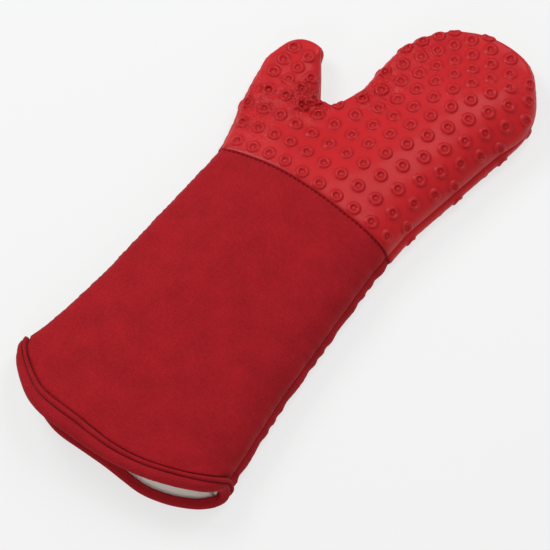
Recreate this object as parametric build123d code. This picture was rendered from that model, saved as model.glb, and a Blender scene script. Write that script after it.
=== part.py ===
"""Long oven mitt: a padded cotton cuff and a silicone hand, whose thumb and fingers bend.

The mitt lies on its back, palm face up. X runs across the hand with the thumb at -X,
+Y runs towards the fingertips and +Z is up. The origin is under the middle of the mitt.
It is a hollow pillow of layers, from the outside in: silicone or cotton twill, wadding,
lining. Each layer is a front and a back piece that meet at the side seam. The silicone,
wadding and lining are cut across at two bend lines, where the real sheets flex.
"""

import os
from math import radians, tan

from build123d import *

# Driving dimensions, in millimetres and degrees.
LENGTH = 400.0            # rim of the mouth to the fingertips
MIDDLE_X = 1.05           # middle of the outline's width, which the origin lies under
HEIGHT = 38.0             # thickness of the padded mitt as it lies
SEAM_HEIGHT = 14.0        # the side seam's height above the table
TOP_ROUND = 14.0          # rounding of the pillow's upper edge
BOTTOM_ROUND = 9.0        # rounding of the pillow's lower edge
WRIST_Y = 229.0           # seam between cuff and silicone, from the mouth

TWILL = 0.8               # thickness of the cuff's cotton
SILICONE = 1.8            # thickness of the silicone sheet
LINING_OUTSIDE = 7.0      # depth from the outer face to the lining
WALL = 8.0                # depth from the outer face to the hand's cavity

BINDING_WIDTH = 13.0      # strip of cotton folded round the mouth's edge
BINDING_FOLD = 0.8        # thickness of one fold of that strip
HEM_STITCH = 9.0          # row of stitches, from the rim
STITCH_WIDTH = 0.8
STITCH_DEPTH = 0.5
SIDE_STITCH_DEPTH = 4.0   # depth of the side seam's thread inside the padding

BEND_LIMIT = 60.0         # how far the thumb and the fingers fold towards the palm
BEND_MARGIN = 2.5         # extra angle cut from each side of a bend line
BEND_GAP = 0.5            # gap between the stretches at a bend line
BEND_HEIGHT = 20.0        # height of both bend axes
FINGER_BEND_Y = 316.0     # bend line across the fingers, from the mouth
THUMB_BEND_POINT = (-37.0, 301.0)
THUMB_BEND_DIRECTION = (0.83, 0.56)
CROTCH_X = -29.0          # line through the gap between thumb and hand

FAR = 600.0               # beyond the mitt on every side

# Corners of the mitt's outline and the radius that rounds each, from the mouth's right side
# round the fingertips and the thumb. The tube of the cuff runs on past the mouth.
OUTLINE = [
    ((94.0, -60.0), 30.0),
    ((74.5, 105.0), 200.0),
    ((68.0, 220.0), 60.0),
    ((98.0, 400.0), 46.0),
    ((-17.0, 400.0), 60.0),
    ((-18.5, 320.0), 30.0),
    ((-32.0, 285.0), 7.0),
    ((-59.5, 324.5), 15.0),
    ((-93.5, 322.5), 20.0),
    ((-67.5, 229.0), 60.0),
    ((-74.5, 110.0), 200.0),
    ((-94.0, -60.0), 30.0),
]

# Corners of the hem's curve: nearly straight across the mouth, swept back at the side seams.
HEM_CORNER = (55.0, 0.0)
HEM_CORNER_RADIUS = 50.0
HEM_SWEEP = 1.0           # sideways run of the swept part for each mm along the mitt


def rounded_face(outline, inset):
    """A flat face from (corner, radius) pairs in anticlockwise order, moved inwards by inset."""
    corners = [Vector(x, y, 0) for (x, y), _ in outline]
    points = []
    radii = []
    for index, (corner, (_, radius)) in enumerate(zip(corners, outline)):
        arriving = (corner - corners[index - 1]).normalized()
        leaving = (corners[(index + 1) % len(corners)] - corner).normalized()
        inwards = Vector(0, 0, 1).cross(arriving) + Vector(0, 0, 1).cross(leaving)
        points.append(corner + inwards * (inset / (1 + arriving.dot(leaving))))
        turns_left = arriving.cross(leaving).Z > 0
        radii.append(radius - inset if turns_left else radius + inset)
    return make_face(FilletPolyline(*points, radius=radii, close=True))


def hem_prism(inset):
    """Everything on the hand's side of the hem's curve, moved inwards by inset."""
    x, y = HEM_CORNER
    side = x + HEM_SWEEP * (FAR - y)
    square = FAR / 4
    face = rounded_face([((-x, y), HEM_CORNER_RADIUS), ((x, y), HEM_CORNER_RADIUS),
                         ((side, FAR), square), ((-side, FAR), square)], inset)
    return Pos(0, 0, -FAR / 2) * extrude(face, FAR)


def pillow(inset):
    """The mitt's full shape without its mouth, every face moved inwards by inset."""
    body = Pos(0, 0, inset) * extrude(rounded_face(OUTLINE, inset), HEIGHT - 2 * inset)
    top_edges = body.faces().sort_by(Axis.Z)[-1].edges()
    body = fillet(top_edges, TOP_ROUND - inset)
    bottom_edges = body.faces().sort_by(Axis.Z)[0].edges()
    return fillet(bottom_edges, max(BOTTOM_ROUND - inset, 1.0))


def slab(low, high, axis):
    """A block that fills space between two values of one axis."""
    size = [2 * FAR] * 3
    centre = [0.0] * 3
    size[axis] = high - low
    centre[axis] = (low + high) / 2
    return Pos(*centre) * Box(*size)


def block(corners):
    """A tall prism over a polygon."""
    points = [Vector(x, y, 0) for x, y in corners]
    return Pos(0, 0, -FAR / 2) * extrude(make_face(Polyline(*points, close=True)), FAR)


def bend_notch(point, direction):
    """The space at a bend line: a thin gap below the axis and a wedge above it."""
    half = BEND_GAP / 2
    rise = HEIGHT + 5.0 - BEND_HEIGHT
    spread = half + rise * tan(radians(BEND_LIMIT / 2 + BEND_MARGIN))
    profile = [(-half, -5.0), (half, -5.0), (half, BEND_HEIGHT), (spread, HEIGHT + 5.0),
               (-spread, HEIGHT + 5.0), (-half, BEND_HEIGHT)]
    plane = Plane(origin=(point[0], point[1], 0), x_dir=(-direction[1], direction[0], 0),
                  z_dir=(direction[0], direction[1], 0))
    # The plane's own Y axis points up or down, so the profile is written to follow it.
    up = 1.0 if plane.y_dir.Z > 0 else -1.0
    face = make_face(Polyline(*[plane.from_local_coords((x, up * z, 0)) for x, z in profile],
                              close=True))
    return extrude(face, FAR / 4, both=True)


def thumb_block():
    """The space that holds the thumb beyond its bend line."""
    x, y = THUMB_BEND_POINT
    slope = THUMB_BEND_DIRECTION[1] / THUMB_BEND_DIRECTION[0]
    left = -150.0
    return block([(CROTCH_X, y + slope * (CROTCH_X - x)), (CROTCH_X, 380.0), (left, 380.0),
                  (left, y + slope * (left - x))])


def finger_block():
    """The space that holds the fingers beyond their bend line."""
    return block([(CROTCH_X, FINGER_BEND_Y), (150.0, FINGER_BEND_Y), (150.0, 450.0),
                  (CROTCH_X, 450.0)])


def sections(solid, thumb, fingers, thumb_gap, finger_gap):
    """Cut one layer into its palm, thumb and finger stretches."""
    return {
        "palm": solid - thumb - fingers - thumb_gap - finger_gap,
        "thumb": (solid & thumb) - thumb_gap,
        "fingers": (solid & fingers) - finger_gap,
    }


def layers():
    """The nested shells that every piece is cut from."""
    outer = pillow(0.0)
    under_twill = pillow(TWILL)
    under_silicone = pillow(SILICONE)
    lining_face = pillow(LINING_OUTSIDE)
    cavity = pillow(WALL)
    return outer, under_twill, under_silicone, lining_face, cavity


def side_thread(thumb, fingers, thumb_gap, finger_gap):
    """The thread that joins front to back, deep inside the seam."""
    ring = pillow(SIDE_STITCH_DEPTH) - pillow(SIDE_STITCH_DEPTH + STITCH_WIDTH)
    ring &= slab(SEAM_HEIGHT - STITCH_DEPTH / 2, SEAM_HEIGHT + STITCH_DEPTH / 2, 2)
    ring &= hem_prism(BINDING_WIDTH)
    return sections(ring, thumb, fingers, thumb_gap, finger_gap)


def build():
    """Every node's shape, by name."""
    outer, under_twill, under_silicone, lining_face, cavity = layers()
    inside_hem = hem_prism(0.0)
    cuff_zone = hem_prism(BINDING_WIDTH) & slab(-FAR, WRIST_Y, 1)
    hand_zone = slab(WRIST_Y, FAR, 1)
    thumb = thumb_block()
    fingers = finger_block()
    thumb_gap = bend_notch(THUMB_BEND_POINT, THUMB_BEND_DIRECTION) & slab(-FAR, CROTCH_X, 0)
    finger_gap = bend_notch((0.0, FINGER_BEND_Y), (1.0, 0.0)) & slab(CROTCH_X, FAR, 0)
    cuts = (thumb, fingers, thumb_gap, finger_gap)
    front = slab(SEAM_HEIGHT, FAR, 2)
    back = slab(-FAR, SEAM_HEIGHT, 2)
    thread = side_thread(*cuts)

    wrist_thread = (outer - pillow(STITCH_DEPTH)) & slab(WRIST_Y - 2 * STITCH_WIDTH,
                                                         WRIST_Y - STITCH_WIDTH, 1)
    cuff = ((outer - under_twill) & cuff_zone) - wrist_thread

    # The wadding and lining run the whole length. They stop one fold short of the rim.
    inside_binding = hem_prism(BINDING_FOLD)
    soft_zone = (under_twill & slab(-FAR, WRIST_Y, 1)) + (under_silicone & hand_zone)
    wadding = sections((soft_zone - lining_face) & inside_binding, *cuts)
    lining = sections((lining_face - cavity) & inside_binding, *cuts)
    silicone = sections((outer - under_silicone) & hand_zone, *cuts)

    # The binding wraps the rim from the outside, over the edge and onto the lining.
    core = (under_twill - cavity) & inside_binding
    binding = (outer - pillow(WALL + BINDING_FOLD)) & inside_hem - hem_prism(BINDING_WIDTH) - core
    stitch_row = hem_prism(HEM_STITCH - STITCH_WIDTH / 2) - hem_prism(HEM_STITCH + STITCH_WIDTH / 2)
    binding_thread = (outer - pillow(STITCH_DEPTH)) & stitch_row

    nodes = {
        "cuff_front_panel": cuff & front,
        "cuff_back_panel": cuff & back,
        "mouth_binding": binding - binding_thread,
        "binding_thread": binding_thread,
        "wrist_thread": wrist_thread,
    }
    for section, prefix in (("palm", "palm"), ("thumb", "thumb"), ("fingers", "finger")):
        for side, half in (("front", front), ("back", back)):
            nodes[f"{prefix}_silicone_{side}"] = silicone[section] & half
            nodes[f"{prefix}_wadding_{side}"] = (wadding[section] & half) - thread[section]
            nodes[f"{prefix}_lining_{side}"] = lining[section] & half
        nodes[f"{prefix}_seam_thread"] = thread[section]
    return nodes


def main():
    os.makedirs("parts", exist_ok=True)
    for name, shape in build().items():
        placed = Pos(-MIDDLE_X, -LENGTH / 2, 0) * shape
        placed.label = name
        export_step(placed, f"parts/{name}.step")


main()
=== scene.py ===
"""Looks of the long oven mitt: silicone hand, padded cotton cuff and bound mouth.

Every shape is worked out on the flat pattern of the mitt, in millimetres, and then laid over
the stuffed form: the pattern's edge goes down the side to the seam, and the middle stays flat.
X runs across the hand with the thumb at -X, +Y runs to the fingertips and +Z is up.
"""

import math

import bpy
import numpy as np
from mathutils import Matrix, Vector
from mathutils.geometry import delaunay_2d_cdt


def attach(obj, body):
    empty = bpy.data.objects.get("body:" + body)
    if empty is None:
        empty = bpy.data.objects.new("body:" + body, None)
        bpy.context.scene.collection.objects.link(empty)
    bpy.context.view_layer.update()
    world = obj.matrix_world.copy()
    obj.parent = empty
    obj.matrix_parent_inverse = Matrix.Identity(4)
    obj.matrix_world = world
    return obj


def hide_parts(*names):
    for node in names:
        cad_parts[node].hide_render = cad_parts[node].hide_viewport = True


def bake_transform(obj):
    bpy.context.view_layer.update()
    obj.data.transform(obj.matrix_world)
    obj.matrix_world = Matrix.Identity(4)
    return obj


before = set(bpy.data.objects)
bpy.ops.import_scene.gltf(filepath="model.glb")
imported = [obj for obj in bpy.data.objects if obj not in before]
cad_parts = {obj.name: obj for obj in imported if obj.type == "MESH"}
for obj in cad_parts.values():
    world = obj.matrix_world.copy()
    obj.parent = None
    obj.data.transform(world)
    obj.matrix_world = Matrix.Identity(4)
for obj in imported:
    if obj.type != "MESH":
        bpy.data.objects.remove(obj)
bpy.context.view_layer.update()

MM = 0.001

# The mitt's outline: each corner and the radius that rounds it. It follows the CAD's outline,
# with the bulges of the padded thumb, palm and fingertips added.
MIDDLE = (1.05, 200.0)
OUTLINE = [
    ((95.2, -60.0), 30.0),
    ((75.8, 105.0), 200.0),
    ((69.3, 214.0), 60.0),
    ((70.6, 250.0), 60.0),
    ((96.2, 402.6), 45.5),
    ((-15.5, 402.6), 58.0),
    ((-17.0, 319.0), 30.0),
    ((-30.0, 283.0), 8.5),
    ((-60.0, 322.2), 13.5),
    ((-78.5, 324.4), 14.0),
    ((-83.9, 298.0), 25.0),
    ((-77.2, 253.0), 60.0),
    ((-69.0, 219.0), 60.0),
    ((-75.2, 104.0), 200.0),
    ((-94.0, -60.0), 30.0),
]

SEAM_ALLOWANCE = 7.0      # how far the flat pattern reaches beyond the outline
SEAM_INSET = 3.0          # the seam lies this far inside the outline
SEAM_Z = 14.0
GROOVE = 1.6              # depth of the turned seam's groove
FRONT_TOP = 36.2          # height that the front reaches
FRONT_RUN = 34.0          # width over which the front rises from the seam
LONG_RUN = 60.0           # the same towards the thumb side and the fingertips
CROWN = 1.6               # extra height in the middle of the front
FLOOR_GAP = 1.6           # silicone's back face to the table, which the rings fill
BACK_RUN = 19.0
LINING_DEPTH = 7.2        # outer face to the lining
WALL_DEPTH = 8.0          # outer face to the hand's cavity
SILICONE = 1.8
TWILL = 0.8

# Towards the thumb side and the fingertips the front slopes longer and the seam lies higher
# and further out.
SLOPES_TOWARDS = (-0.61, 0.79)
SEAM_RISE = 4.0
SEAM_SHIFT = 3.2
HAND_SHIFT = 2.0
FALL = 4.5                # how much lower the hand's front lies towards those sides
TIP_COVER = 3.0           # how far the front overhangs the back at the right of fingertips and thumb

# Pattern line between the cuff and the silicone.
WRIST = [(-100, 22), (-76, 23), (-68, 23), (-55, 26), (-28, 30), (3, 31.5), (35, 31), (70, 30),
         (100, 29)]
# Pattern lines of the mouth's rims.
RIM_FRONT = [(-97, -156), (-91, -166), (-80, -183), (-62, -197.5), (-43, -203.5), (-20, -204),
             (0, -203.5), (15, -202), (35, -197.7), (55, -190), (68, -183), (79, -175),
             (88.7, -165), (97, -156)]
RIM_BACK = [(-97, -156), (-91, -166), (-84, -174), (-75, -182), (-60, -191), (-45, -197.5),
            (-32, -200), (-13, -199.5), (5, -199), (22, -199.5), (35, -199.5), (47, -197),
            (59, -192.5), (71, -185), (81, -175), (88.7, -165), (97, -153)]

# Raised rings moulded on the silicone: radius from a ring's centre, and height.
RING_PROFILE = [(0.0, 0.3), (0.7, 0.15), (1.3, -0.15), (1.75, 0.0), (2.15, 0.6), (2.6, 1.0),
                (3.15, 1.15), (3.7, 1.1), (4.2, 0.75), (4.6, 0.3), (4.9, 0.05), (5.2, 0.0)]
# Radii of the circles of vertices that a ring is meshed with.
RING_RADII = [0.7, 1.3, 1.75, 2.1, 2.55, 3.05, 3.55, 4.0, 4.35, 4.65, 4.95, 5.3]
# Painted shade on the silicone in a ring's hollow and round its outer base: radius, and amount.
RING_PAINTED_SHADE = [(0.0, 0.0), (0.6, 0.2), (1.2, 1.0), (1.8, 0.9), (2.4, 0.2), (3.0, 0.0), (3.9, 0.1),
             (4.5, 0.7), (4.9, 0.8), (5.6, 0.0)]
RING_SIDES = 26
RING_PITCH = 14.5
RING_ROWS = 14.2
RING_START = (2.35, 95.2)
THUMB_RING_PITCH = 11.6
THUMB_RING_ROWS = 11.3
THUMB_RING_START = (-76.5, 113.0)
THUMB_RINGS_FROM = 86.0
# The silicone is gathered towards the fingertips and the thumb side. That moves the rings along Y,
# by (row's Y, move), and less towards the right, by (X, share).
RING_MOVES = [(38, -1.6), (53, -0.8), (67, 0.6), (81, 1.6), (95, 1.8), (109, 1.2), (124, 0.0),
              (138, -1.0), (152, -3.4), (166, -6.0), (180, -9.5), (195, -14.0), (209, -19.0),
              (224, -25.0)]
RING_MOVE_SHARES = [(10, 1.0), (24, 0.9), (39, 0.75), (53, 0.65), (68, 0.45), (82, 0.2)]
# Left of these values of X it also draws the rings together, by these shares along X and Y.
GATHER_FROM = -27.0
FINGERS_GATHER_FROM = 10.0
GATHER = (0.13, -0.11)
RING_FROM_EDGE = 5.6      # nearest that a ring's centre comes to the pattern's edge
TIP_RING_FROM_EDGE = 8.5  # the same at the little finger's tip, where the side wall is steep
RING_FROM_WRIST = 4.6     # nearest that it comes to the wrist's line

# Where the hand's layers are divided into a thumb side and a finger side.
SPLIT_X = -31.0
# The thumb: its hinge, and the direction from there to the tip.
THUMB_HINGE = (-38.05, 101.0)
THUMB_AWAY = (-0.559, 0.829)
THUMB_LOWER = 0.15        # share by which the front of the thumb is lower than the hand

# Lines of the deep crease across the thumb's base and of two small ones beside the crotch.
CREASE = [(-84, 67), (-76, 75), (-63, 77), (-52, 80), (-42, 80), (-34, 81), (-29, 90)]
CROTCH_CREASE = [(-21, 103), (-16, 112), (-10, 121)]
HAND_CREASE = [(-20, 118), (-17, 130), (-9, 140)]
# Stretches where the outline bulges towards the thumb side: place, reach along X and Y, amount.
FLARES = [((-88, -170), (22, 22), 3.0), ((-95, 90), (18, 30), 1.5)]

CHUNK = 8000              # points handled at a time, which limits the memory in use


# ---- Shapes of lines and edges

def ease(low, high, value):
    """0 at low and 1 at high, with a smooth step between."""
    t = np.clip((value - low) / (high - low), 0.0, 1.0)
    return t * t * (3 - 2 * t)


def spline(points, spacing):
    """Evenly spaced points on a smooth curve through the given ones."""
    knots = np.array(points, float)
    padded = np.vstack([2 * knots[0] - knots[1], knots, 2 * knots[-1] - knots[-2]])
    t = np.linspace(0, 1, 20, endpoint=False)[:, None]
    parts = []
    for a, b, c, d in zip(padded, padded[1:], padded[2:], padded[3:]):
        parts.append(0.5 * (2 * b + (c - a) * t + (2 * a - 5 * b + 4 * c - d) * t ** 2
                            + (3 * b - a - 3 * c + d) * t ** 3))
    return respaced(np.vstack(parts + [knots[-1:]]), spacing)


def lengths_along(line):
    """Length from a flat line's start to each of its points."""
    return np.concatenate([[0], np.cumsum(np.hypot(*np.diff(line, axis=0).T))])


def points_at(wanted, at, line):
    """Points at wanted lengths along a line, whose own points are at the lengths in at."""
    return np.stack([np.interp(wanted, at, values) for values in line.T], 1)


def respaced(line, spacing, closed=False):
    """The same flat line with evenly spaced points."""
    if closed:
        line = np.vstack([line, line[:1]])
    at = lengths_along(line)
    count = max(int(round(at[-1] / spacing)), 2)
    wanted = np.linspace(0, at[-1], count + 1)
    if closed:
        wanted = wanted[:-1]
    return points_at(wanted, at, line)


def rounded_loop(outline):
    """The outline as a closed line whose corners are arcs."""
    corners = np.array([corner for corner, _ in outline]) - MIDDLE
    points = []
    for i, (_, radius) in enumerate(outline):
        back = corners[i - 1] - corners[i]
        on = corners[(i + 1) % len(corners)] - corners[i]
        back /= np.hypot(*back)
        on /= np.hypot(*on)
        half = math.acos(back @ on) / 2
        middle = back + on
        centre = corners[i] + middle / np.hypot(*middle) * radius / math.sin(half)
        first = corners[i] + back * radius / math.tan(half) - centre
        last = corners[i] + on * radius / math.tan(half) - centre
        turn = math.pi - 2 * half
        for t in np.linspace(0, 1, 15):
            points.append(centre + (math.sin((1 - t) * turn) * first + math.sin(t * turn) * last)
                          / math.sin(turn))
    return np.array(points)


LOOP = rounded_loop(OUTLINE)
STEPS = np.roll(LOOP, -1, 0) - LOOP
STEP_LENGTHS = np.hypot(*STEPS.T)
ALONG = np.concatenate([[0], np.cumsum(STEP_LENGTHS)[:-1]])
STEP_NORMALS = np.column_stack([-STEPS[:, 1], STEPS[:, 0]]) / STEP_LENGTHS[:, None]
# Directions inwards at the line's points, so that they turn smoothly round a corner.
POINT_NORMALS = STEP_NORMALS + np.roll(STEP_NORMALS, 1, 0)
POINT_NORMALS /= np.hypot(*POINT_NORMALS.T)[:, None]


def edge_info(points):
    """Per point: distance inside the outline, direction inwards and place along the edge."""
    depth = np.empty(len(points))
    inwards = np.empty((len(points), 2))
    along = np.empty(len(points))
    for low in range(0, len(points), CHUNK):
        part = slice(low, low + CHUNK)
        rel = points[part, None, :] - LOOP[None]
        t = np.clip((rel * STEPS).sum(2) / STEP_LENGTHS ** 2, 0, 1)
        off = rel - t[..., None] * STEPS
        best = (off ** 2).sum(2).argmin(1)
        rows = np.arange(len(best))
        off = off[rows, best]
        sign = np.where((off * STEP_NORMALS[best]).sum(1) >= 0, 1.0, -1.0)
        depth[part] = np.hypot(*off.T) * sign
        share = t[rows, best][:, None]
        direction = POINT_NORMALS[best] * (1 - share) + np.roll(POINT_NORMALS, -1, 0)[best] * share
        inwards[part] = direction / np.hypot(*direction.T)[:, None]
        along[part] = ALONG[best] + t[rows, best] * STEP_LENGTHS[best]
    return depth, inwards, along


# ---- The stuffed form that the pattern lies on

def quarter(low_inset, low_z, run, rise):
    """A quarter of an ellipse, as (inset, height)."""
    angle = np.linspace(0, math.pi / 2, 24)
    return np.stack([low_inset + run * (1 - np.cos(angle)), low_z + rise * np.sin(angle)], 1)


def side_profile(side, depth, run):
    """The side wall as (distance on the pattern, inset from the outline, height)."""
    if side == "front":
        top = FRONT_TOP - depth
        if depth:
            curve = quarter(SEAM_INSET + depth, SEAM_Z, run - depth, top - SEAM_Z)
        else:
            hook = spline([(SEAM_INSET + GROOVE, SEAM_Z), (SEAM_INSET + 0.5, SEAM_Z + 0.5),
                           (SEAM_INSET, SEAM_Z + 2.0)], 0.4)
            curve = np.vstack([hook[:-1], quarter(SEAM_INSET, SEAM_Z + 2, run, top - SEAM_Z - 2)])
    else:
        low = FLOOR_GAP + depth
        if depth:
            curve = quarter(SEAM_INSET + depth, SEAM_Z, BACK_RUN - depth, low - SEAM_Z)
        else:
            curve = spline([(SEAM_INSET + GROOVE, SEAM_Z), (SEAM_INSET + 0.3, SEAM_Z - 0.7),
                            (1.2, SEAM_Z - 2.2), (0.2, 9.3), (0.5, 6.4), (2.4, 3.6), (6.0, 1.9),
                            (11.0, FLOOR_GAP), (SEAM_INSET + BACK_RUN, FLOOR_GAP)], 0.4)
    lengths = lengths_along(curve)
    reach = curve[-1, 0] + SEAM_ALLOWANCE
    return lengths * reach / lengths[-1], curve[:, 0], curve[:, 1]


GRID_LOW = np.array((-112.0, -222.0))
GRID_COUNT = (225, 446)
grid_points = np.stack(np.meshgrid(GRID_LOW[0] + np.arange(GRID_COUNT[0]),
                                   GRID_LOW[1] + np.arange(GRID_COUNT[1]), indexing="ij"),
                       -1).reshape(-1, 2)
grid_edge = edge_info(grid_points)


def blurred(field, sigma):
    """A grid field smoothed over that many millimetres."""
    reach = int(3 * sigma)
    weights = np.exp(-0.5 * (np.arange(-reach, reach + 1) / sigma) ** 2)
    weights /= weights.sum()
    for axis in (0, 1):
        pad = [(0, 0)] * field.ndim
        pad[axis] = (reach, reach)
        wide = np.pad(field, pad, mode="edge")
        total = 0
        for k, weight in enumerate(weights):
            piece = [slice(None)] * field.ndim
            piece[axis] = slice(k, k + field.shape[axis])
            total = total + weight * wide[tuple(piece)]
        field = total
    return field


def bilinear(field, i, j, fx, fy):
    near = field[i, j] * (1 - fx) + field[i + 1, j] * fx
    far = field[i, j + 1] * (1 - fx) + field[i + 1, j + 1] * fx
    return near * (1 - fy) + far * fy


def sampled(field, points):
    """A grid field's value at any points, linear between the grid's."""
    at = np.clip(points - GRID_LOW, 0.0, np.array(GRID_COUNT) - 1.001)
    i = at.astype(int)
    f = at - i
    if field.ndim == 3:
        f = f[..., None]
    fx, fy = f[:, 0], f[:, 1]
    return bilinear(field, i[:, 0], i[:, 1], fx, fy)


def thumb_share(points):
    """How much points belong to the thumb."""
    beyond = (points - THUMB_HINGE) @ np.array(THUMB_AWAY)
    return ease(-22, 14, beyond) * ease(-20, -34, points[:, 0])


def laid(points, edge, side, depth):
    """Plan shift and height of pattern points, before any smoothing."""
    inside, inwards, _ = edge
    on = np.clip(inside + SEAM_ALLOWANCE, 0, None)
    overhang = np.clip(-(inwards @ np.array(SLOPES_TOWARDS)), 0, 1)
    share = ease(0.05, 0.6, overhang)

    def on_wall(run):
        reach, insets, heights = side_profile(side, depth, run)
        shift = np.where(on < reach[-1], np.interp(on, reach, insets) - inside, 0.0)
        return shift, np.interp(on, reach, heights)

    shift, height = on_wall(FRONT_RUN)
    if side == "front":
        long_shift, long_height = on_wall(LONG_RUN)
        gentle = np.maximum(share, thumb_share(points))
        shift += gentle * (long_shift - shift)
        height += gentle * (long_height - height)
        hand = ease(5, 60, points[:, 1])
        # Deeper layers are lowered from nearer the seam, so that they stay under the outer one.
        lowered = ease(2 - 1.4 * depth, 14 - 1.2 * min(depth, 7), on) * ease(66, 20, on)
        height -= (FALL + 0.25 * depth) * hand * share * lowered
    near = 1 - ease(2, 26, on)
    height += SEAM_RISE * share * near
    out = SEAM_SHIFT + HAND_SHIFT * ease(40, 80, points[:, 1])
    shift -= out * share * (1 - ease(4, 30, on))
    tip = np.maximum(ease(128, 158, points[:, 1]), thumb_share(points))
    tip *= ease(0.15, 0.6, -inwards[:, 0]) * (1 - share)
    covered = (4, 26) if side == "front" else (0, 7)
    shift -= TIP_COVER * tip * (1 - ease(*covered, on))
    return np.column_stack([inwards * shift[:, None], height])


noise_grids = np.random.default_rng(11)


def bumps(size, height):
    """Smooth random bumps about that wide, as a grid field."""
    coarse = noise_grids.normal(size=(int(260 / size * 2.2), int(460 / size * 2.2)))
    x = np.linspace(1, coarse.shape[0] - 3, GRID_COUNT[0])
    y = np.linspace(1, coarse.shape[1] - 3, GRID_COUNT[1])
    i, j = x.astype(int), y.astype(int)
    fx = ease(0, 1, x - i)[:, None]
    fy = ease(0, 1, y - j)[None]
    value = blurred(bilinear(coarse, i[:, None], j[None], fx, fy), size / 8)
    return value / value.std() * height


def line_distance(points, line):
    """Distance from points to a line, and how far along it the nearest place is, 0 to 1."""
    a, b = line[:-1], line[1:]
    rel = points[:, None] - a
    run = b - a
    t = np.clip((rel * run).sum(2) / (run ** 2).sum(1), 0, 1)
    d = np.hypot(*np.moveaxis(rel - t[..., None] * run, 2, 0))
    best = d.argmin(1)
    rows = np.arange(len(points))
    return d[rows, best], (best + t[rows, best]) / len(a)


def crease(line, depth, width):
    """A valley along a line that fades at both ends, with a low ridge on each side."""
    away, along = line_distance(grid_points, spline(line, 3.0))
    fade = ease(0, 0.15, along) * ease(0, 0.15, 1 - along)
    shape = -np.exp(-(away / width) ** 2) + 0.45 * np.exp(-((away - 2.3 * width) / (1.3 * width)) ** 2)
    return (depth * fade * shape).reshape(GRID_COUNT)


def around(x, y, reach):
    """A grid field that is 1 at a place and fades to 0 at that reach."""
    away = np.hypot(grid_points[:, 0] - x, grid_points[:, 1] - y)
    return ease(reach, 0.3 * reach, away).reshape(GRID_COUNT)


GRID_Y = grid_points[:, 1].reshape(GRID_COUNT)
in_hand = ease(20, 40, GRID_Y)
front_relief = (
    CROWN * ease(24, 66, grid_edge[0]).reshape(GRID_COUNT)
    + bumps(64, 0.55) * (1 - 0.5 * in_hand) + bumps(26, 0.16) * (1 - 0.4 * in_hand)
    + crease(CREASE, 0.9, 2.4)
    + bumps(11, 0.4) * around(-46, 86, 26) + bumps(9, 0.35) * around(-72, 70, 34)
    + bumps(10, 0.35) * around(-12, 125, 26)
    + crease(CROTCH_CREASE, 1.0, 2.2) + crease(HAND_CREASE, 0.8, 2.4)
)
back_relief = bumps(60, 0.35) * ease(12, 30, grid_edge[0]).reshape(GRID_COUNT) * 0.4
RELIEF = {"front": front_relief, "back": back_relief}

# Where the thumb's base and the hand's edge are crumpled finely.
CRINKLES = np.clip(around(-44, 88, 24) + 0.8 * around(-74, 60, 36) + 0.7 * around(-14, 122, 24)
                   + 0.5 * around(-12, 160, 26), 0, 1)

form_fields = {}


def form_field(side, depth):
    """The laid form on the grid, smoothed where opposite sides meet."""
    if (side, depth) not in form_fields:
        sharp = laid(grid_points, grid_edge, side, depth).reshape(*GRID_COUNT, 3)
        form_fields[side, depth] = blurred(sharp, 5.0)
    return form_fields[side, depth]


def place(points, side, depth=0.0, edge=None):
    """Where pattern points lie on the stuffed form, at a depth below its outer face."""
    edge = edge or edge_info(points)
    on = edge[0] + SEAM_ALLOWANCE
    exact = laid(points, edge, side, depth)
    smooth = sampled(form_field(side, depth), points)
    mix = ease(9, 19, on)[:, None]
    moved = exact * (1 - mix) + smooth * mix
    if side == "front":
        lower = THUMB_LOWER * thumb_share(points)
        moved[:, 2] -= lower * np.maximum(moved[:, 2] - SEAM_Z - SEAM_RISE, 0)
    relief = sampled(RELIEF[side], points) * ease(2, 12, on)
    out = np.column_stack([points + moved[:, :2], moved[:, 2] + relief])
    for (x, y), (wide, long), amount in FLARES:
        out[:, 0] -= amount * np.exp(-((points[:, 0] - x) / wide) ** 2 - ((points[:, 1] - y) / long) ** 2)
    return out


# ---- Flat pattern meshes

def wrist_y(x):
    return np.interp(x, WRIST_LINE[:, 0], WRIST_LINE[:, 1])


def rim_y(x, side):
    line = RIM_LINES[side]
    return np.interp(x, line[:, 0], line[:, 1])


def line_normals(line):
    """Directions to the left of a flat line, at each of its points."""
    run = np.gradient(line, axis=0)
    run /= np.hypot(*run.T)[:, None]
    return np.column_stack([-run[:, 1], run[:, 0]])


WRIST_LINE = spline(WRIST, 1.4)
RIM_LINES = {"front": spline(RIM_FRONT, 1.4), "back": spline(RIM_BACK, 1.4)}


def edge_line(on, spacing):
    """Evenly spaced points at a distance inside the pattern's edge, in order round it."""
    fine = respaced(LOOP, 0.5, closed=True)
    inwards = edge_info(fine)[1]
    moved = fine + inwards * (on - SEAM_ALLOWANCE)
    far = np.abs(edge_info(moved)[0] - (on - SEAM_ALLOWANCE)) < 0.05
    fine, moved = (np.vstack([line[far], line[far][:1]]) for line in (fine, moved))
    # Inside a tight corner the outline is the longer of the two, and the points crowd together.
    steps = np.maximum(np.hypot(*np.diff(fine, axis=0).T), np.hypot(*np.diff(moved, axis=0).T))
    at = np.concatenate([[0], np.cumsum(steps)])
    wanted = np.linspace(0, at[-1], int(round(at[-1] / spacing)) + 1)[:-1]
    return points_at(wanted, at, moved)


def hexagon_grid(low, high, spacing):
    """Points in staggered rows, each as far from its six neighbours."""
    rows = np.arange(low[1], high[1], spacing * 0.866)
    points = []
    for k, y in enumerate(rows):
        x = np.arange(low[0] + (k % 2) * spacing / 2, high[0], spacing)
        points.append(np.column_stack([x, np.full(len(x), y)]))
    return np.vstack(points)


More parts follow.
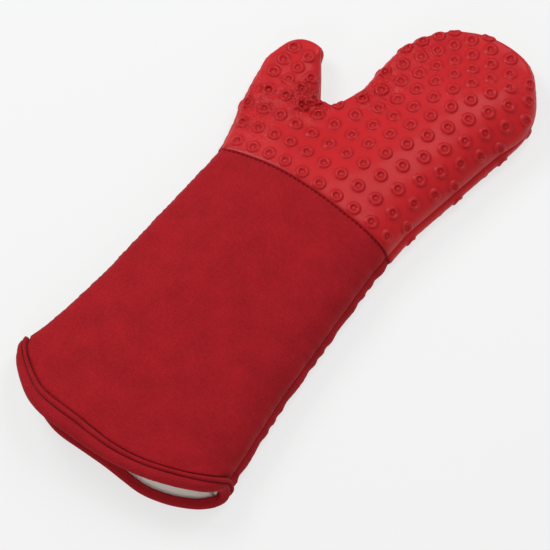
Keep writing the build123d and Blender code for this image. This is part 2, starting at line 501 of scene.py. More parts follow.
def triangles(points, keep):
    """Delaunay triangles over points, where keep allows them."""
    result = delaunay_2d_cdt([Vector(p) for p in points], [], [], 0, 1e-7)
    flat = np.array([tuple(v) for v in result[0]])
    faces = np.array([f for f in result[2] if len(f) == 3])
    faces = faces[keep(flat[faces].mean(1))]
    used, index = np.unique(faces, return_inverse=True)
    return flat[used], index.reshape(-1, 3)


def zone_mesh(inside, spacing, lines, rings=None, edge_spacing=1.6, edge_loops=(0.0, 0.9, 2.0, 3.4)):
    """A mesh of part of the flat pattern: fine at the edge and at rings, coarser between."""
    def keep(points):
        return inside(points) & (edge_info(points)[0] > -SEAM_ALLOWANCE)

    parts = []
    for on in edge_loops:
        line = edge_line(on, edge_spacing)
        parts.append(line[inside(line)])
    for line in lines:
        on = edge_info(line)[0] + SEAM_ALLOWANCE
        # The line's points inside the pattern, and where it crosses the pattern's edge.
        last = np.nonzero((on[:-1] > 0) != (on[1:] > 0))[0]
        crossing = (on[last] / (on[last] - on[last + 1]))[:, None]
        parts += [line[on > 0.05], line[last] * (1 - crossing) + line[last + 1] * crossing]
    if rings is not None:
        for k, radius in enumerate(RING_RADII):
            angle = (np.arange(RING_SIDES) + 0.5 * (k % 2)) * 2 * math.pi / RING_SIDES
            circle = np.column_stack([np.cos(angle), np.sin(angle)]) * radius
            loops = (rings[:, None] + circle[None]).reshape(-1, 2)
            parts.append(loops[clear_of(loops, rings, RING_RADII[-1] - 0.01, own=RING_SIDES)])
        parts.append(rings)
    fill = hexagon_grid(GRID_LOW, -GRID_LOW, spacing)
    on = edge_info(fill)[0] + SEAM_ALLOWANCE
    fill = fill[inside(fill) & (on > edge_loops[-1] + 0.5 * spacing)]
    if rings is not None:
        fill = fill[clear_of(fill, rings, RING_RADII[-1] + 0.35 * spacing)]
    for line in lines:
        near = line_distance(fill, line)[0]
        fill = fill[near > 0.6 * spacing]
    parts.append(fill)
    points = np.vstack(parts)
    separate = np.unique(np.round(points / 0.05).astype(int), axis=0, return_index=True)[1]
    return triangles(points[np.sort(separate)], keep)


def nearest_centre(points, centres, own=0):
    """Distance to the nearest centre, and which one. The centre that own points were made round
    doesn't count."""
    away = np.empty(len(points))
    which = np.empty(len(points), int)
    for low in range(0, len(points), CHUNK):
        part = slice(low, low + CHUNK)
        gap = np.hypot(*(points[part, None] - centres[None]).transpose(2, 0, 1))
        if own:
            gap[np.arange(len(gap)), np.arange(low, low + len(gap)) // own] = np.inf
        away[part] = gap.min(1)
        which[part] = gap.argmin(1)
    return away, which


def clear_of(points, centres, radius, own=0):
    """Which points are outside every circle, apart from the one they were made round."""
    return nearest_centre(points, centres, own)[0] > radius


def laid_mesh(side, *zone):
    """A mesh of part of the flat pattern, its places on the edge, its outer face and normals."""
    flat, faces = zone_mesh(*zone)
    edge = edge_info(flat)
    base = place(flat, side, 0.0, edge)
    if side == "back":
        faces = faces[:, ::-1]
    return flat, faces, edge, base, normals_of(base, faces)


def face_normals(points, faces):
    """Normals of triangles, as long as twice a triangle's area."""
    a, b, c = (points[faces[:, k]] for k in range(3))
    return np.cross(b - a, c - a)


def normals_of(points, faces):
    """Unit normals at the vertices."""
    normals = face_normals(points, faces)
    total = np.zeros_like(points)
    for k in range(3):
        np.add.at(total, faces[:, k], normals)
    return total / np.maximum(np.linalg.norm(total, axis=1), 1e-12)[:, None]


def ring_centres():
    """Ring centres over the pattern: staggered rows on the hand, straight rows on the thumb."""
    hand = np.array([(RING_START[0] + (k + 0.5 * (row % 2)) * RING_PITCH, RING_START[1] + row * RING_ROWS)
                     for row in range(-8, 10) for k in range(-9, 9)])
    hand = hand[~((hand[:, 0] < SPLIT_X - 2) & (hand[:, 1] > THUMB_RINGS_FROM))]
    x, y = hand.T
    on_fingers = y > THUMB_RINGS_FROM + 10
    left_of = np.clip(np.where(on_fingers, FINGERS_GATHER_FROM, GATHER_FROM) - x, 0, None)
    moves = np.interp(y, *zip(*RING_MOVES)) * np.interp(x, *zip(*RING_MOVE_SHARES))
    hand = np.column_stack([x + left_of * GATHER[0], y + left_of * GATHER[1] * ~on_fingers + moves])
    thumb = np.array(THUMB_RING_START) + [(i * THUMB_RING_PITCH, j * THUMB_RING_ROWS)
                                          for i in range(-2, 5) for j in range(-2, 1)]
    thumb = thumb[(thumb[:, 0] < SPLIT_X - 3) & clear_of(thumb, hand, 2 * RING_RADII[-1])]
    centres = np.vstack([hand, thumb])
    depth, inwards = edge_info(centres)[:2]
    nearest = np.where((inwards < -0.3).all(1), TIP_RING_FROM_EDGE, RING_FROM_EDGE)
    above = centres[:, 1] - wrist_y(centres[:, 0])
    return centres[(depth + SEAM_ALLOWANCE > nearest) & (above > RING_FROM_WRIST)]


# ---- Mesh objects

def make_object(name, points, faces, material, smooth=True):
    """A mesh object in metres, from points in millimetres."""
    mesh = bpy.data.meshes.new(name)
    mesh.from_pydata((np.asarray(points) * MM).tolist(), [], [list(map(int, f)) for f in faces])
    mesh.materials.append(material)
    mesh.polygons.foreach_set("use_smooth", [smooth] * len(mesh.polygons))
    mesh.update()
    obj = bpy.data.objects.new(name, mesh)
    bpy.context.scene.collection.objects.link(obj)
    return obj


def set_attribute(obj, name, values, kind="FLOAT_VECTOR", key="vector"):
    attribute = obj.data.attributes.new(name, kind, "POINT")
    attribute.data.foreach_set(key, np.asarray(values, np.float32).ravel())


def shell(name, flat, faces, outer, inner, material, outer_normals=None, extra=None):
    """A closed thin piece from an outer and an inner copy of a flat mesh, with the flat pattern's
    size and area in metres."""
    used, index = np.unique(faces, return_inverse=True)
    faces = index.reshape(-1, 3)
    outer, inner, flat = outer[used], inner[used], flat[used]
    count = len(used)
    edges = np.vstack([faces[:, [0, 1]], faces[:, [1, 2]], faces[:, [2, 0]]])
    keyed = np.sort(edges, 1)
    _, first, counts = np.unique(keyed, axis=0, return_index=True, return_counts=True)
    border = edges[first[counts == 1]]
    sides = np.column_stack([border[:, 1], border[:, 0], border[:, 0] + count, border[:, 1] + count])
    all_faces = faces.tolist() + (faces[:, ::-1] + count).tolist() + sides.tolist()
    obj = make_object(name, np.vstack([outer, inner]), all_faces, material)
    mesh = obj.data
    on_border = set(map(tuple, np.sort(border, 1).tolist()))
    on_border |= {(a + count, b + count) for a, b in on_border}
    for edge in mesh.edges:
        if tuple(sorted(edge.vertices)) in on_border:
            edge.use_edge_sharp = True
    set_attribute(obj, "pattern", np.column_stack([np.vstack([flat, flat]), np.zeros(2 * count)]))
    for key, values in (extra or {}).items():
        set_attribute(obj, key, np.concatenate([values[used], np.zeros(count)]), "FLOAT", "value")
    if outer_normals is not None:
        wanted = np.zeros((len(mesh.loops), 3), np.float32)
        vertex = np.empty(len(mesh.loops), int)
        mesh.loops.foreach_get("vertex_index", vertex)
        corners = np.arange(3 * len(faces))
        wanted[corners] = outer_normals[used][vertex[corners]]
        mesh.normals_split_custom_set(wanted.tolist())
    pattern_area = 0.5 * np.abs(face_normals(flat, faces)).sum()
    size = flat.max(0) - flat.min(0)
    return obj, size * MM, pattern_area * MM * MM


# ---- Materials

class Paint:
    """A procedural material whose nodes are added one by one."""

    def __init__(self, name, **shader):
        self.material = bpy.data.materials.new(name)
        self.material.use_nodes = True
        self.tree = self.material.node_tree
        self.shader = self.tree.nodes["Principled BSDF"]
        for key, value in shader.items():
            self.shader.inputs[key.replace("_", " ")].default_value = value

    def node(self, kind, settings=None, **inputs):
        """A node of a kind whose inputs, named or numbered, are values or other nodes' outputs."""
        made = self.tree.nodes.new(kind)
        for key, value in (settings or {}).items():
            setattr(made, key, value)
        for key, value in inputs.items():
            socket = made.inputs[int(key[1:])] if key[0] == "i" and key[1:].isdigit() \
                else made.inputs[key.replace("_", " ")]
            if isinstance(value, bpy.types.NodeSocket):
                self.tree.links.new(value, socket)
            else:
                socket.default_value = value
        return made

    def math(self, operation, a, b=0.0, clamp=False):
        return self.node("ShaderNodeMath", {"operation": operation, "use_clamp": clamp},
                         i0=a, i1=b).outputs[0]

    def times(self, a, b):
        return self.math("MULTIPLY", a, b)

    def sine(self, a):
        return self.math("SINE", a)

    def plus(self, a, b, clamp=False):
        return self.math("ADD", a, b, clamp)

    def mix(self, amount, a, b):
        """From one colour to another."""
        a, b = (c if isinstance(c, bpy.types.NodeSocket) else (*c, 1) for c in (a, b))
        return self.node("ShaderNodeMix", {"data_type": "RGBA"}, i0=amount, i6=a, i7=b).outputs[2]

    def attribute(self, name, output="Fac"):
        return self.node("ShaderNodeAttribute", {"attribute_name": name}).outputs[output]

    def pattern(self):
        """Place on the flat pattern, in millimetres."""
        return self.attribute("pattern", "Vector")

    def noise(self, at, scale, detail=3.0, rough=0.55):
        return self.node("ShaderNodeTexNoise", Vector=at, Scale=scale, Detail=detail,
                         Roughness=rough).outputs["Fac"]

    def spread(self, value, low, high, to_low=0.0, to_high=1.0):
        """A value moved from one range to another, and kept inside it."""
        return self.node("ShaderNodeMapRange", Value=value, From_Min=low, From_Max=high,
                         To_Min=to_low, To_Max=to_high).outputs[0]

    def bump(self, height, strength, distance, under=None):
        made = self.node("ShaderNodeBump", Strength=strength, Distance=distance * MM, Height=height)
        if under is not None:
            self.tree.links.new(under, made.inputs["Normal"])
        return made.outputs[0]

    def set(self, name, value):
        self.tree.links.new(value, self.shader.inputs[name.replace("_", " ")])


def silicone_paint():
    paint = Paint("red_silicone", Roughness=0.4, Specular_IOR_Level=0.13, Coat_Weight=0.05,
                  Coat_Roughness=0.18)
    at = paint.pattern()
    cloudy = paint.spread(paint.noise(at, 0.03, 2.0), 0.3, 0.7)
    speckle = paint.spread(paint.noise(at, 2.2, 2.0), 0.35, 0.65)
    base = paint.mix(cloudy, (0.455, 0.0098, 0.0135), (0.505, 0.012, 0.016))
    base = paint.mix(paint.times(speckle, 0.18), base, (0.39, 0.009, 0.0125))
    height = paint.attribute("relief")
    # Painted shade: the raised rings are a darker red, as the broad highlight misses their sloping sides.
    raised_painted_shade = paint.spread(height, 0.2, 1.0, 0.0, 0.45)
    base = paint.mix(raised_painted_shade, base, (0.42, 0.008, 0.012))
    # Painted shade: darker in the rings' hollows, round their outer bases and along the wrist seam.
    painted_shade = paint.attribute("painted_shade")
    base = paint.mix(paint.times(painted_shade, 0.62), base, (0.25, 0.005, 0.008))
    paint.set("Base_Color", base)
    crinkled = paint.attribute("crinkled")
    paint.set("Roughness", paint.math("SUBTRACT", paint.spread(speckle, 0.0, 1.0, 0.36, 0.46),
                                      paint.times(crinkled, 0.16)))
    fine = paint.bump(paint.noise(at, 3.5, 2.0), 0.22, 0.05)
    fine = paint.bump(paint.noise(at, 0.16, 4.0, 0.62), crinkled, 5.0, fine)
    fine = paint.bump(paint.noise(at, 0.42, 2.0, 0.5), crinkled, 1.8, fine)
    paint.set("Normal", paint.bump(paint.noise(at, 0.35, 2.0), 0.25, 0.5, fine))
    return paint.material


def cloth_paint(name, dark, light, rib, across, sheen=0.07, rib_strength=0.7, rough=0.85):
    """Woven cotton: ribs that run along the pattern's X, crossed by slanting threads."""
    paint = Paint(name, Roughness=rough, Sheen_Weight=sheen, Sheen_Roughness=0.45,
                  Specular_IOR_Level=0.06)
    paint.shader.inputs["Sheen Tint"].default_value = (1.0, 0.62, 0.62, 1) if dark[0] > 2 * dark[1] \
        else (1, 1, 1, 1)
    at = paint.pattern()
    parts = paint.node("ShaderNodeSeparateXYZ", Vector=at)
    wobble = paint.times(paint.math("SUBTRACT", paint.noise(at, 0.03, 1.0), 0.5), 2.0)
    y = paint.plus(parts.outputs[1], wobble)
    ribs = paint.sine(paint.times(y, 2 * math.pi / rib))
    slant = paint.plus(paint.times(parts.outputs[0], 2 * math.pi / across),
                       paint.times(y, 2 * math.pi / rib / 2))
    threads = paint.sine(slant)
    weave = paint.plus(paint.times(ribs, 0.5), paint.times(threads, 0.3))
    slub = paint.noise(at, 0.9, 4.0, 0.7)
    weave = paint.plus(weave, paint.times(paint.math("SUBTRACT", slub, 0.5), 2.2))
    patchy = paint.spread(paint.noise(at, 0.05, 4.0, 0.65), 0.3, 0.7)
    grain = paint.spread(paint.noise(at, 0.42, 3.0, 0.8), 0.36, 0.64, -0.12, 0.12)
    tone = paint.plus(paint.times(patchy, 0.34),
                      paint.spread(weave, -1.0, 1.0, 0.0, 0.66), clamp=True)
    tone = paint.plus(tone, grain, clamp=True)
    paint.set("Base_Color", paint.mix(tone, dark, light))
    paint.set("Roughness", paint.spread(slub, 0.3, 0.7, rough - 0.08, rough + 0.06))
    fuzz = paint.bump(paint.noise(at, 2.6, 3.0, 0.7), 0.3, 0.12)
    paint.set("Normal", paint.bump(weave, rib_strength, 0.12, fuzz))
    return paint.material


def thread_paint(name, dark, light):
    """Twisted thread, painted from its place in the object's space, as it has no flat pattern."""
    paint = Paint(name, Roughness=0.75, Specular_IOR_Level=0.08)
    at = paint.node("ShaderNodeTexCoord").outputs["Object"]
    at = paint.node("ShaderNodeVectorMath", {"operation": "SCALE"}, i0=at, Scale=1 / MM).outputs[0]
    parts = paint.node("ShaderNodeSeparateXYZ", Vector=at)
    along = paint.plus(parts.outputs[0], parts.outputs[1])
    twist = paint.sine(paint.times(paint.plus(along, parts.outputs[2]), 14.0))
    paint.set("Base_Color", paint.mix(paint.spread(twist, -1, 1), dark, light))
    paint.set("Normal", paint.bump(twist, 0.5, 0.1))
    return paint.material


def wadding_paint():
    paint = Paint("cotton_wadding", Roughness=0.95, Sheen_Weight=0.5)
    at = paint.pattern()
    felt = paint.noise(at, 0.8, 6.0, 0.75)
    paint.set("Base_Color", paint.mix(felt, (0.62, 0.6, 0.54), (0.82, 0.8, 0.75)))
    paint.set("Normal", paint.bump(felt, 0.7, 0.5))
    return paint.material


SILICONE_PAINT = silicone_paint()
TWILL_PAINT = cloth_paint("red_twill", (0.20, 0.0056, 0.0092), (0.405, 0.0120, 0.0182), 1.4, 0.8)
BINDING_PAINT = cloth_paint("binding_cotton", (0.215, 0.0062, 0.0100), (0.385, 0.0120, 0.0185),
                            0.9, 0.9)
LINING_PAINT = cloth_paint("lining_cotton", (0.78, 0.74, 0.67), (0.93, 0.90, 0.84), 0.7, 0.7,
                           sheen=0.15, rib_strength=0.4)
THREAD_PAINT = thread_paint("red_thread", (0.08, 0.002, 0.004), (0.17, 0.005, 0.008))
WADDING_PAINT = wadding_paint()


# ---- How pieces move

def move_with(obj, part):
    """Fix a piece to the palm, or else bake its placement into its mesh."""
    if part == "palm":
        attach(obj, "palm")
        return
    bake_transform(obj)


def halves(flat, faces, rings=None):
    """Faces of the thumb's side and of the fingers' side. A ring's faces stay together."""
    centre = flat[faces].mean(1)
    x = centre[:, 0].copy()
    if rings is not None:
        away, near = nearest_centre(centre, rings)
        owned = away < RING_RADII[-1] + 0.6
        x[owned] = rings[near[owned], 0]
    return {"thumb": faces[x < SPLIT_X], "finger": faces[x >= SPLIT_X]}


def declare(nodes):
    """Hide the CAD nodes that a sheet stands for."""
    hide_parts(*nodes)


def beyond_line(points, line):
    """Which points are on the hand's side of a line that runs across the mitt."""
    return points[:, 1] >= np.interp(points[:, 0], line[:, 0], line[:, 1]) - 0.01


# ---- The silicone hand

rings = ring_centres()


def silicone(side):
    """One silicone sheet with its rings, as a thumb side and a finger side."""
    def inside(points):
        return beyond_line(points, WRIST_LINE)

    wrist_rows = [WRIST_LINE, WRIST_LINE + (0, 0.8), WRIST_LINE + (0, 2.0)]
    flat, faces, edge, base, normals = laid_mesh(side, inside, 2.6, wrist_rows, rings)
    on = edge[0] + SEAM_ALLOWANCE
    radius = nearest_centre(flat, rings)[0]
    height = np.interp(radius, *zip(*RING_PROFILE))
    # Painted shade: darker in the rings' hollows and round their outer bases.
    painted_shade = np.interp(radius, *zip(*RING_PAINTED_SHADE))
    crinkled = sampled(CRINKLES, flat) if side == "front" else np.zeros(len(flat))
    above = flat[:, 1] - wrist_y(flat[:, 0])
    # Painted shade along the wrist seam, darker nearer to it.
    painted_shade = np.maximum(painted_shade, 0.75 * ease(4.5, 0.8, above))
    lip = 0.12 * ease(6.0, 1.5, above) - 0.35 * ease(0.9, 0.0, above)
    outer = base + normals * (height + lip)[:, None]
    thickness = SILICONE * (0.35 + 0.65 * ease(0, 7, on))
    inner = base - normals * thickness[:, None]
    shading = normals_of(outer, faces)
    for part, chosen in halves(flat, faces, rings).items():
        name = f"silicone_{side}_{part}_side"
        obj, size, area = shell(name, flat, chosen, outer, inner, SILICONE_PAINT, shading,
                                {"relief": height, "painted_shade": painted_shade, "crinkled": crinkled})
        bodies = ("finger", "palm") if part == "finger" else ("thumb",)
        declare([f"{body}_silicone_{side}" for body in bodies])
        move_with(obj, part)


# ---- The cotton cuff

SEAM_TURN = 20.0          # how near the side seam the bound edge starts to follow it
# How narrow the bound edge is along X, as a share of BINDING_SECTION's distances from the rim.
BAND_SHARES = [(-95, 0.5), (-80, 0.52), (-60, 0.72), (-40, 0.88), (-20, 0.86), (0, 0.74),
               (20, 0.66), (95, 0.64)]
# Places along X, and the height of the side seams' puckers there.
PUCKERS = ((-60, 40), (0.2, 0.5))


def band_share(points):
    return np.interp(points[:, 0], *zip(*BAND_SHARES))


def rim_gap(points, side):
    """How far points are from the rim of the mouth, negative beyond it."""
    line = RIM_LINES[side]
    steepness = np.interp(points[:, 0], line[:, 0], line_normals(line)[:, 1])
    return (points[:, 1] - rim_y(points[:, 0], side)) * steepness


def into_mitt(rim):
    """Directions from a rim's line towards the hand, turned along the side seams at its ends."""
    inside, inwards, _ = edge_info(rim)
    seamwards = np.column_stack([-inwards[:, 1], inwards[:, 0]])
    seamwards *= np.where(seamwards[:, 1] < 0, -1, 1)[:, None]
    turned = ease(SEAM_TURN, 2, inside + SEAM_ALLOWANCE)[:, None]
    mixed = line_normals(rim) * (1 - turned) + seamwards * turned
    return mixed / np.hypot(*mixed.T)[:, None]


def beside_rim(side, gap):
    """The rim's line moved towards the hand."""
    line = RIM_LINES[side]
    return line + into_mitt(line) * np.broadcast_to(gap, len(line))[:, None]


def cuff(side):
    """One cotton panel of the cuff."""
    border = beside_rim(side, 2.6)

    def inside(points):
        return (points[:, 1] <= wrist_y(points[:, 0]) + 3.0) & beyond_line(points, border)

    share = band_share(RIM_LINES[side])
    lines = [WRIST_LINE + (0, 3.0), WRIST_LINE + (0, 0.3), WRIST_LINE - (0, 1.2), WRIST_LINE - (0, 2.6),
             border] + [beside_rim(side, share * d) for d in (10.0, 12.8, 13.6, 14.6, 16.0)]
    flat, faces, edge, base, normals = laid_mesh(side, inside, 2.6, lines)
    on = edge[0] + SEAM_ALLOWANCE
    below = wrist_y(flat[:, 0]) - flat[:, 1]
    ditch = -1.0 * ease(7.0, 0.5, below)
    pucker = np.interp(flat[:, 0], *PUCKERS) * np.sin(edge[2] / 2.4 + 2.5 * np.sin(edge[2] / 9.0))
    pucker *= ease(1, 6, on) * (1 - ease(6, 20, on))
    band = rim_gap(flat, side) / band_share(flat)
    pressed = -1.5 * ease(14.8, 13.4, band)
    pressed += 0.35 * ease(13.6, 14.8, band) * ease(24, 15, band)
    held_shut = ease(0.0, 5.0, on)
    outer = base + normals * (pucker + (ditch + pressed) * held_shut)[:, None]
    if side == "back":
        outer[:, 2] -= (FLOOR_GAP - 0.3) * ease(0, 10, below) * ease(14, 4, outer[:, 2])
    inner = outer - normals * TWILL
    name = f"cuff_{side}_panel_cloth"
    obj, size, area = shell(name, flat, faces, outer, inner, TWILL_PAINT)
    declare([f"cuff_{side}_panel"])
    move_with(obj, "palm")


# ---- Lining and wadding

# Depth below the outer face of each layer's two faces, first inside the mitt and then at the rim,
# where the binding presses them flat.
LAYERS = {"lining": ((LINING_DEPTH, WALL_DEPTH), (3.6, 4.2)),
          "wadding": ((2.2, LINING_DEPTH - 0.3), (2.5, 3.5))}
PRESSED_FROM_RIM = 16.0


def inner_layer(side, kind):
    """The lining or the wadding of one side, as a cuff, a thumb side and a finger side."""
    x = RIM_LINES[side][:, 0]
    border = beside_rim(side, 1.5 + 2.7 * ease(50, 76, x) + 1.6 * ease(-60, -82, x))

    def inside(points):
        return beyond_line(points, border)

    zone = (inside, 4.0, [border, WRIST_LINE], None, 3.0, (0.0, 2.5))
    flat, faces, edge, base, normals = laid_mesh(side, *zone)
    pressed = (1 - ease(0, PRESSED_FROM_RIM, rim_gap(flat, side)))[:, None]
    outer, inner = (place(flat, side, depth, edge) * (1 - pressed) + (base - normals * thin) * pressed
                    for depth, thin in zip(*LAYERS[kind]))
    paint = LINING_PAINT if kind == "lining" else WADDING_PAINT
    x, y = flat[faces].mean(1).T
    in_cuff = y < wrist_y(x)
    shading = normals_of(outer, faces)
    for part, chosen in {"cuff": faces[in_cuff], **halves(flat, faces[~in_cuff])}.items():
        name = f"{kind}_{side}_{part}" + ("" if part == "cuff" else "_side")
        obj, size, area = shell(name, flat, chosen, outer, inner, paint, shading)
        node = f"palm_{kind}_{side}" if part == "cuff" else f"{part}_{kind}_{side}"
        if kind == "lining":
            # The lining is cut as large as it lies, unlike the outer sheets.
            declare([node])
        else:
            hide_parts(node)
        move_with(obj, "palm" if part == "cuff" else part)


# ---- Binding and stitches

# Cross-section of the bound mouth: distance from the rim, and depth below the outer face.
BINDING_SECTION = [(12.6, 0.9), (12.5, -0.2), (12.0, -1.2), (11.1, -1.75), (10.2, -1.65), (9.4, -1.0),
                   (8.8, 0.4), (8.25, 1.1), (7.7, 0.5), (7.1, -0.5), (5.8, -1.0), (3.8, -1.15),
                   (1.7, -0.95), (0.3, -0.3), (-0.7, 0.8), (-1.1, 2.1), (-0.8, 3.3), (0.2, 4.3),
                   (1.8, 4.9), (3.4, 5.3), (4.9, 5.9), (5.7, 6.2), (6.0, 5.5)]
BINDING_FOLD = 0.8
HEM_STITCH = 8.25         # row of stitches, on the same scale as BINDING_SECTION
STITCH_LENGTH = 2.6
STITCH_GAP = 0.9
# Along a stitch: place on its length, and share of its full radius.
STITCH_SHAPE = [(0.0, 0.25), (0.12, 0.8), (0.5, 1.0), (0.88, 0.8), (1.0, 0.25)]


def round_mitt(lines, *more):
    """Points of a front and a back line in order round the mitt, the side each is on, and more
    values that go with them. Points in the turned seam are left out."""
    found = []
    for side, order in (("front", 1), ("back", -1)):
        outside = edge_info(lines[side])[0] + SEAM_ALLOWANCE > 3.0
        rows = [lines[side], np.full(len(outside), side), *(each[side] for each in more)]
        found.append([row[outside][::order] for row in rows])
    return [np.concatenate(pair) for pair in zip(*found)]


def mouth_path():
    """Pattern points round the rim, the side each is on, and the direction away from the rim."""
    lines = {side: respaced(line, 1.7) for side, line in RIM_LINES.items()}
    return round_mitt(lines, {side: into_mitt(line) for side, line in lines.items()})


def surface(points, sides, depth):
    """Where pattern points on either side lie on the outer face, moved in by a depth."""
    step = 0.6
    out = np.empty((len(points), 3))
    for side in ("front", "back"):
        chosen = sides == side
        p = points[chosen]
        here = place(p, side)
        dx = place(p + (step, 0), side) - place(p - (step, 0), side)
        dy = place(p + (0, step), side) - place(p - (0, step), side)
        normal = np.cross(dx, dy) * (1 if side == "front" else -1)
        normal /= np.linalg.norm(normal, axis=1)[:, None]
        out[chosen] = here - normal * depth[chosen][:, None]
    return out


def binding():
    """The folded strip round the mouth's rim."""
    points, sides, away = mouth_path()
    outer = np.array(BINDING_SECTION)
    inner = outer + line_normals(outer) * BINDING_FOLD
    section = np.vstack([outer, inner[::-1]])
    count, wide = len(points), len(section)
    from_rim = section[None, :, :1]
    reach = from_rim * np.where(from_rim > 0, band_share(points)[:, None, None], 1.0)
    grid = points[:, None] + away[:, None] * reach
    depth = np.broadcast_to(section[:, 1], (count, wide))
    all_points = surface(grid.reshape(-1, 2), np.repeat(sides, wide), depth.reshape(-1))
    all_points = all_points.reshape(count, wide, 3)
    for _ in range(2):
        before, after = np.roll(all_points, 1, 0), np.roll(all_points, -1, 0)
        all_points = 0.25 * before + 0.5 * all_points + 0.25 * after
    all_points[:, :, 2] = np.maximum(all_points[:, :, 2], 0.15)
    i = np.arange(count)[:, None]
    j = np.arange(wide)[None]
    quads = np.stack([i * wide + j, (i + 1) % count * wide + j, (i + 1) % count * wide + (j + 1) % wide,
                      i * wide + (j + 1) % wide], -1).reshape(-1, 4)
    obj = make_object("mouth_binding_strip", all_points.reshape(-1, 3), quads, BINDING_PAINT)
    along = lengths_along(points)
    across = lengths_along(section)
    flat = np.stack(np.broadcast_arrays(along[:, None], across[None], 0.0), -1)
    set_attribute(obj, "pattern", flat.reshape(-1, 3))
    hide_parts("mouth_binding")
    move_with(obj, "palm")


def stitches(name, path, node, part="palm", radius=0.4):
    """A row of short rounded stitches along a path of points."""
    steps = np.linalg.norm(np.diff(path, axis=0), axis=1)
    at = np.concatenate([[0], np.cumsum(steps)])
    points, faces = [], []
    start = STITCH_GAP
    while start + STITCH_LENGTH < at[-1]:
        base = len(points)
        centre = points_at([start + t * STITCH_LENGTH for t, _ in STITCH_SHAPE], at, path)
        run = centre[-1] - centre[0]
        run /= np.linalg.norm(run)
        side = np.cross(run, (0.0, 0.0, 1.0) if abs(run[2]) < 0.9 else (1.0, 0.0, 0.0))
        side /= np.linalg.norm(side)
        up = np.cross(side, run)
        for c, (_, swell) in zip(centre, STITCH_SHAPE):
            for k in range(6):
                a = k * math.pi / 3
                points.append(c + (side * math.cos(a) + up * math.sin(a)) * radius * swell)
        for ring in range(len(STITCH_SHAPE) - 1):
            for k in range(6):
                n = (k + 1) % 6
                a, b = base + ring * 6, base + ring * 6 + 6
                faces.append((a + k, a + n, b + n, b + k))
        faces.append(tuple(base + k for k in range(5, -1, -1)))
        faces.append(tuple(base + (len(STITCH_SHAPE) - 1) * 6 + k for k in range(6)))
        start += STITCH_LENGTH + STITCH_GAP
    obj = make_object(name, np.array(points), faces, THREAD_PAINT)
    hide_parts(node)
    move_with(obj, part)


def hem_stitches():
    points, sides, away = mouth_path()
    row = points + away * (HEM_STITCH * band_share(points))[:, None]
    path = surface(row, sides, np.full(len(points), 0.75))
    stitches("hem_stitches", np.vstack([path, path[:1]]), "binding_thread", radius=0.42)


def wrist_stitches():
    points, sides = round_mitt({side: WRIST_LINE - (0, 1.0) for side in ("front", "back")})
    path = surface(points, sides, np.full(len(points), 0.85))
    stitches("wrist_stitches", np.vstack([path, path[:1]]), "wrist_thread")


def seam_stitches():
    """The side seam's thread: one stretch for each of fingers and thumb, and two for the cuff."""
    line = edge_line(0.0, 1.5)
    placed = place(line, "front")
    above = line[:, 1] - wrist_y(line[:, 0])
    start = int(np.argmax((above <= 0) & (line[:, 0] > 0)))
    line, placed, above = (np.roll(a, -start, 0) for a in (line, placed, above))
    crotch = int(np.argmin(np.hypot(line[:, 0] - SPLIT_X, line[:, 1] - 90)))
    hand = np.where(above > 0)[0]
    finger, thumb = placed[hand[hand <= crotch]], placed[hand[hand >= crotch]]
    stitches("seam_stitches_fingers", finger, "finger_seam_thread", "finger")
    stitches("seam_stitches_thumb", thumb, "thumb_seam_thread", "thumb")
    in_cuff = (above <= 0) & (line[:, 1] - rim_y(line[:, 0], "front") > 2)
    for name, chosen in (("left", line[:, 0] < 0), ("right", line[:, 0] > 0)):
        path = placed[in_cuff & chosen]
        path = path[np.argsort(path[:, 1])]
        stitches(f"seam_stitches_cuff_{name}", path, "palm_seam_thread")


# ---- Light and camera

CAMERA_AZIMUTH = 37.67
CAMERA_ELEVATION = 67.84
CAMERA_DISTANCE = 2.532
CAMERA_AIM = (0.0137, -0.0267, 0.015)
VIEW_ANGLE = 8.376
FLOOR_REACH = 3000.0      # from the middle of the floor to each side
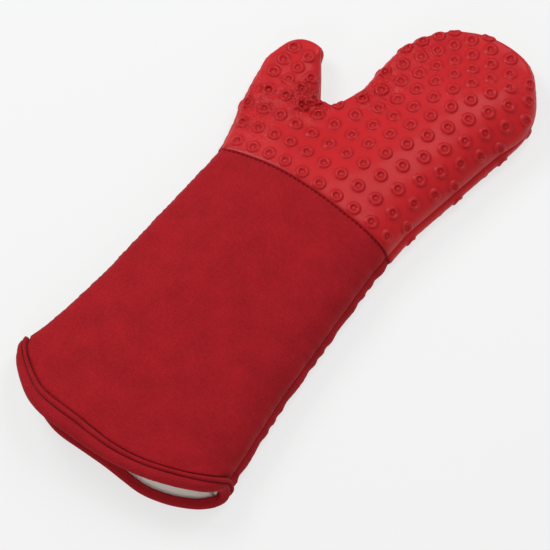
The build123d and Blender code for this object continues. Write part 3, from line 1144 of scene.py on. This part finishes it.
# Soft lights: name, azimuth, elevation, distance, size and power.
SOFTBOXES = [("key", -95, 46, 1.6, (0.6, 0.6), 12.7),
             ("top", 178, 56, 1.5, (0.6, 0.9), 9.5),
             ("mouth fill", 10, 28, 1.5, (0.8, 0.4), 3.5)]


def direction(azimuth, elevation):
    """Unit vector towards a place round the mitt: azimuth 0 is at -Y and 90 at +X."""
    a, e = math.radians(azimuth), math.radians(elevation)
    return Vector((math.sin(a) * math.cos(e), -math.cos(a) * math.cos(e), math.sin(e)))


def put(name, data, azimuth, elevation, distance, aim=(0, 0, 0)):
    """A camera or a light at a distance from a point, facing it."""
    obj = bpy.data.objects.new(name, data)
    towards = direction(azimuth, elevation)
    obj.location = Vector(aim) + towards * distance
    obj.rotation_euler = towards.to_track_quat("Z", "Y").to_euler()
    bpy.context.scene.collection.objects.link(obj)
    return obj


def camera():
    data = bpy.data.cameras.new("camera")
    data.angle = math.radians(VIEW_ANGLE)
    data.clip_end = 20.0
    bpy.context.scene.camera = put("camera", data, CAMERA_AZIMUTH, CAMERA_ELEVATION, CAMERA_DISTANCE,
                                   CAMERA_AIM)


def softbox(name, azimuth, elevation, distance, size, power):
    data = bpy.data.lights.new(name, "AREA")
    data.shape = "RECTANGLE"
    data.size, data.size_y = size
    data.energy = power
    put(name, data, azimuth, elevation, distance)


def studio():
    scene = bpy.context.scene
    scene.view_settings.view_transform = "Standard"
    world = bpy.data.worlds.new("studio")
    scene.world = world
    world.use_nodes = True
    sky = world.node_tree.nodes["Background"].inputs
    sky["Color"].default_value = (1, 1, 1, 1)
    sky["Strength"].default_value = 0.42
    for light in SOFTBOXES:
        softbox(*light)
    paint = Paint("studio_floor", Roughness=0.9, Base_Color=(0.18, 0.184, 0.182, 1),
                  Emission_Color=(1, 1, 1, 1), Emission_Strength=0.68)
    corners = [(x * FLOOR_REACH, y * FLOOR_REACH, 0) for x, y in ((-1, -1), (1, -1), (1, 1), (-1, 1))]
    floor = make_object("floor", corners, [(0, 1, 2, 3)], paint.material, False)


for each_side in ("front", "back"):
    silicone(each_side)
    cuff(each_side)
    inner_layer(each_side, "lining")
    inner_layer(each_side, "wadding")
binding()
hem_stitches()
wrist_stitches()
seam_stitches()
camera()
studio()
